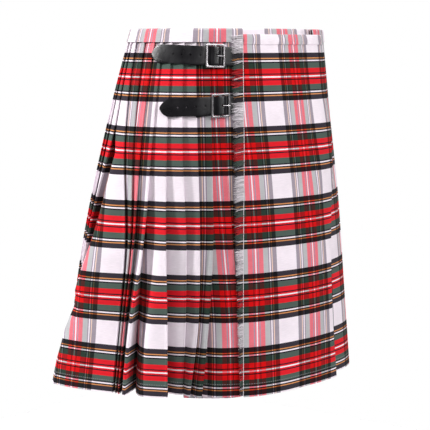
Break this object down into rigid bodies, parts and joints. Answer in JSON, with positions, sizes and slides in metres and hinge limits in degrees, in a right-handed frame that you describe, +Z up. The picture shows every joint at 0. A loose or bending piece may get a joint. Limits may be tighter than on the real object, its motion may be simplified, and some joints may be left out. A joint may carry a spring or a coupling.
{
  "type": "scottish kilt",
  "caption": "Knee-length wrap kilt in dress tartan with a fringed over-apron, knife pleats and buckled hip straps.",
  "frame": {"origin": "middle of the waist opening, level with the top edge of the waistband", "axes": "+Z up along the wearer's body, -Y forward out of the front apron, +X to the wearer's left, away from the strapped hip"},
  "size_m": [0.5528, 0.4436, 0.609],
  "materials": {
    "tartan": "matt twill, checked",
    "fringe": "matt loose yarn",
    "leather": "semi-gloss black",
    "buckle": "dark nickel"
  },
  "bodies": {
    "root": {"pleats": "tartan", "over_apron": "tartan", "under_apron": "tartan", "waistband": "tartan", "apron_waistband": "tartan", "fringe": "fringe", "strap_upper": "leather", "strap_lower": "leather", "chape_upper": "leather", "chape_lower": "leather", "buckle_upper": "buckle", "buckle_lower": "buckle", "prong_upper": "buckle", "prong_lower": "buckle"}
  },
  "joints": []
}
